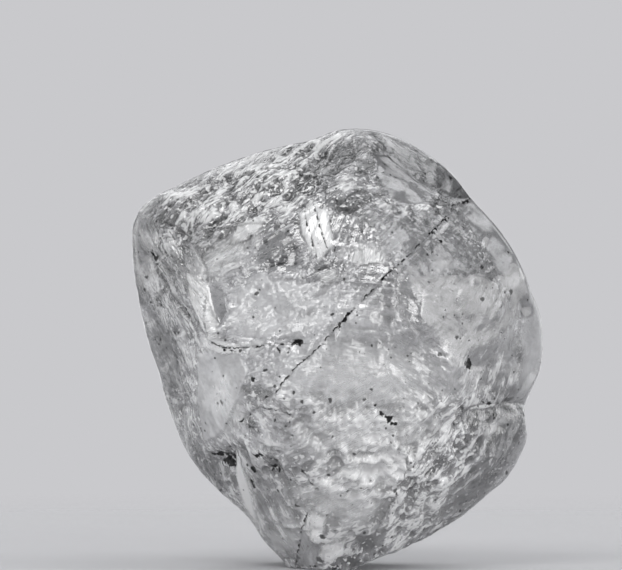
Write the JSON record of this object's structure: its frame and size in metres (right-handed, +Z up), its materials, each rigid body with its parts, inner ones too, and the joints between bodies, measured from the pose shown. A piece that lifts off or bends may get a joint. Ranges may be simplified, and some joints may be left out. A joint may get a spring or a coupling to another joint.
{
  "type": "rough diamond",
  "caption": "Uncut diamond crystal with grown faces, a notched lower lobe and a small flat foot that it stands on.",
  "frame": {"origin": "on the flat foot that the stone stands on, under the middle of the stone's bounding box", "axes": "+Z up, the stone's tallest direction; -Y towards the viewer of the pictured side; +X to that viewer's right"},
  "size_m": [0.0102, 0.0085, 0.0109],
  "materials": {
    "diamond": "satin translucent crystal with etched, streaky faces"
  },
  "bodies": {
    "root": {"rough_diamond": "diamond"}
  },
  "joints": []
}
